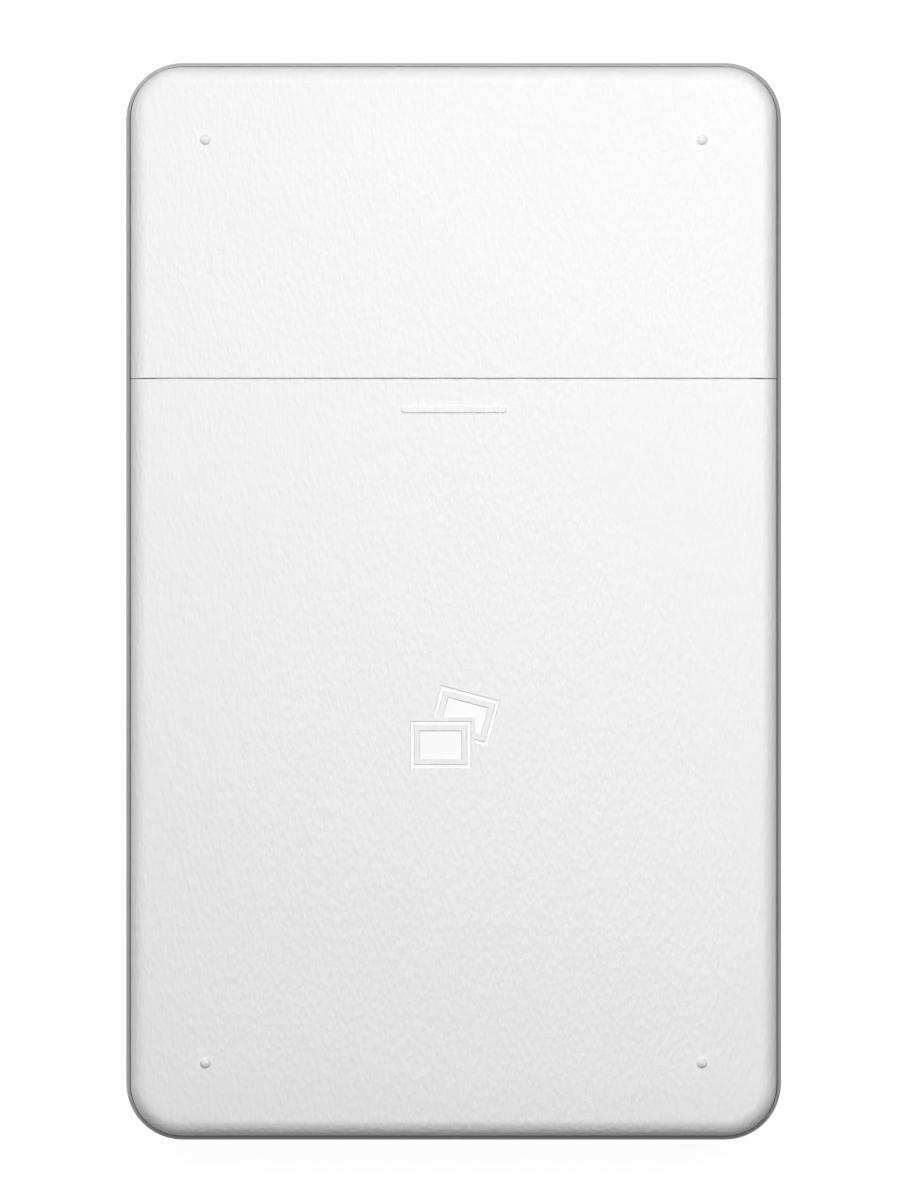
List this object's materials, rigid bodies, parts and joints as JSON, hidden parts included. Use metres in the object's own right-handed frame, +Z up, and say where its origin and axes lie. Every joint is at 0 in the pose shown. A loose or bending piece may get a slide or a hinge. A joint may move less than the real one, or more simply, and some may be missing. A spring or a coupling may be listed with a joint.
{
  "type": "compact photo printer",
  "caption": "Pocket printer for small photo sheets: white shells, satin band, hinged paper cover over a tray, print mechanism, gear train and end-face button and port.",
  "frame": {"origin": "middle of the flat front face, which the printer lies on, at z = 0", "axes": "+X across the width, +Y along the length towards the end the print comes out of, +Z up through the hinged paper cover"},
  "size_m": [0.073, 0.12, 0.0204],
  "materials": {
    "front_shell": "white moulding with a fine leather-like grain",
    "mid_band": "satin silver-grey paint on plastic",
    "back_panel": "white moulding with a fine leather-like grain",
    "chassis": "black glass-filled plastic",
    "hinge_pins": "ground steel",
    "battery": "silver laminate pouch",
    "circuit_board": "green solder mask",
    "board_chips": "black moulded packages",
    "charging_port": "tinned steel",
    "port_tongue": "black contact insulator",
    "switches": "black switch bodies",
    "light_guides": "frosted clear plastic",
    "head_flex": "amber polyimide flex",
    "flex_connector": "ivory connector housing",
    "motor": "plated steel can",
    "gear_plate": "pressed zinc-plated steel",
    "gear_posts": "turned steel",
    "bushings": "sintered bronze",
    "chassis_screws": "zinc-plated steel",
    "panel_screws": "zinc-plated steel",
    "paper_sensor": "black sensor body",
    "head_springs": "spring wire",
    "paper_cover": "white moulding with a fine leather-like grain",
    "plate_springs": "spring wire",
    "pressure_plate": "dark grey moulding",
    "friction_pad": "cork-rubber pad",
    "power_button": "satin silver-grey paint on plastic",
    "reset_button": "ivory plunger",
    "motor_shaft": "ground steel",
    "motor_pinion": "machined brass",
    "drive_gear": "natural acetal",
    "platen_shaft": "ground steel",
    "platen_rubber": "black silicone rubber",
    "platen_gear": "natural acetal",
    "exit_idler": "natural acetal",
    "exit_shaft": "ground steel",
    "exit_tyres": "black rubber",
    "exit_gear": "natural acetal",
    "pick_idler": "natural acetal",
    "pick_shaft": "ground steel",
    "pick_tyre": "black rubber with a fine knurl",
    "pick_gear": "natural acetal",
    "pinch_shaft": "ground steel",
    "pinch_rollers": "ivory acetal",
    "head_bracket": "extruded aluminium heat sink",
    "print_head": "ceramic strip",
    "head_pin": "ground steel",
    "paper_flag": "black plastic lever"
  },
  "bodies": {
    "base": {"front_shell": "front_shell", "mid_band": "mid_band", "back_panel": "back_panel", "chassis": "chassis", "hinge_pins": "hinge_pins", "battery": "battery", "circuit_board": "circuit_board", "board_chips": "board_chips", "charging_port": "charging_port", "port_tongue": "port_tongue", "switches": "switches", "light_guides": "light_guides", "head_flex": "head_flex", "flex_connector": "flex_connector", "motor": "motor", "gear_plate": "gear_plate", "gear_posts": "gear_posts", "bushings": "bushings", "chassis_screws": "chassis_screws", "panel_screws": "panel_screws", "paper_sensor": "paper_sensor", "head_springs": "head_springs"},
    "cover": {"paper_cover": "paper_cover", "plate_springs": "plate_springs"},
    "plate": {"pressure_plate": "pressure_plate", "friction_pad": "friction_pad"},
    "power_key": {"power_button": "power_button"},
    "reset_key": {"reset_button": "reset_button"},
    "motor_rotor": {"motor_shaft": "motor_shaft", "motor_pinion": "motor_pinion"},
    "drive": {"drive_gear": "drive_gear"},
    "platen": {"platen_shaft": "platen_shaft", "platen_rubber": "platen_rubber", "platen_gear": "platen_gear"},
    "exit_idle": {"exit_idler": "exit_idler"},
    "exit_roller": {"exit_shaft": "exit_shaft", "exit_tyres": "exit_tyres", "exit_gear": "exit_gear"},
    "pick_idle": {"pick_idler": "pick_idler"},
    "pick_roller": {"pick_shaft": "pick_shaft", "pick_tyre": "pick_tyre", "pick_gear": "pick_gear"},
    "pinch": {"pinch_shaft": "pinch_shaft", "pinch_rollers": "pinch_rollers"},
    "head": {"head_bracket": "head_bracket", "print_head": "print_head", "head_pin": "head_pin"},
    "flag": {"paper_flag": "paper_flag"}
  },
  "joints": [
    {"name": "cover_hinge", "type": "hinge", "parent": "base", "child": "cover", "pos_m": [0, -0.0562, 0.01535], "axis": [1, 0, 0], "range_deg": [0, 70]},
    {"name": "plate_pivot", "type": "hinge", "parent": "cover", "child": "plate", "pos_m": [0, -0.026, 0.0177], "axis": [1, 0, 0], "range_deg": [-4.8, 0], "stiffness_Nm_per_rad": 0.02, "deforming": ["plate_springs"]},
    {"name": "power_press", "type": "slide", "parent": "base", "child": "power_key", "axis": [0, 1, 0], "range_m": [0, 0.00035], "stiffness_N_per_m": 1500},
    {"name": "reset_press", "type": "slide", "parent": "base", "child": "reset_key", "axis": [0, 1, 0], "range_m": [0, 0.00025], "stiffness_N_per_m": 1500},
    {"name": "platen_spin", "type": "hinge", "parent": "base", "child": "platen", "pos_m": [0, 0.0379, 0.0086], "axis": [1, 0, 0], "continuous": true},
    {"name": "drive_spin", "type": "hinge", "parent": "base", "child": "drive", "pos_m": [0, 0.03066, 0.01201], "axis": [1, 0, 0], "continuous": true},
    {"name": "motor_spin", "type": "hinge", "parent": "base", "child": "motor_rotor", "pos_m": [0, 0.0279, 0.0058], "axis": [1, 0, 0], "continuous": true},
    {"name": "exit_idler_spin", "type": "hinge", "parent": "base", "child": "exit_idle", "pos_m": [0, 0.04585, 0.00772], "axis": [1, 0, 0], "continuous": true},
    {"name": "exit_spin", "type": "hinge", "parent": "base", "child": "exit_roller", "pos_m": [0, 0.0514, 0.01], "axis": [1, 0, 0], "continuous": true},
    {"name": "pick_idler_spin", "type": "hinge", "parent": "base", "child": "pick_idle", "pos_m": [0, 0.02468, 0.01156], "axis": [1, 0, 0], "continuous": true},
    {"name": "pick_spin", "type": "hinge", "parent": "base", "child": "pick_roller", "pos_m": [0, 0.0169, 0.0084], "axis": [1, 0, 0], "continuous": true},
    {"name": "pinch_spin", "type": "hinge", "parent": "base", "child": "pinch", "pos_m": [0, 0.0514, 0.0141], "axis": [1, 0, 0], "continuous": true},
    {"name": "head_pivot", "type": "hinge", "parent": "base", "child": "head", "pos_m": [0, 0.0309, 0.0148], "axis": [1, 0, 0], "range_deg": [0, 1.2], "stiffness_Nm_per_rad": 0.5, "deforming": ["head_springs"]},
    {"name": "flag_pivot", "type": "hinge", "parent": "base", "child": "flag", "pos_m": [0.01, 0.04535, 0.0094], "axis": [1, 0, 0], "range_deg": [-30, 0], "stiffness_Nm_per_rad": 0.0002}
  ],
  "couplings": [
    {"joint": "drive_spin", "follows": "platen_spin", "ratio": -2.3333},
    {"joint": "motor_spin", "follows": "platen_spin", "ratio": 5.6},
    {"joint": "exit_idler_spin", "follows": "platen_spin", "ratio": -2.3333},
    {"joint": "exit_spin", "follows": "platen_spin", "ratio": 1.5556},
    {"joint": "pick_idler_spin", "follows": "platen_spin", "ratio": 1.5556},
    {"joint": "pick_spin", "follows": "platen_spin", "ratio": -1.1667}
  ]
}
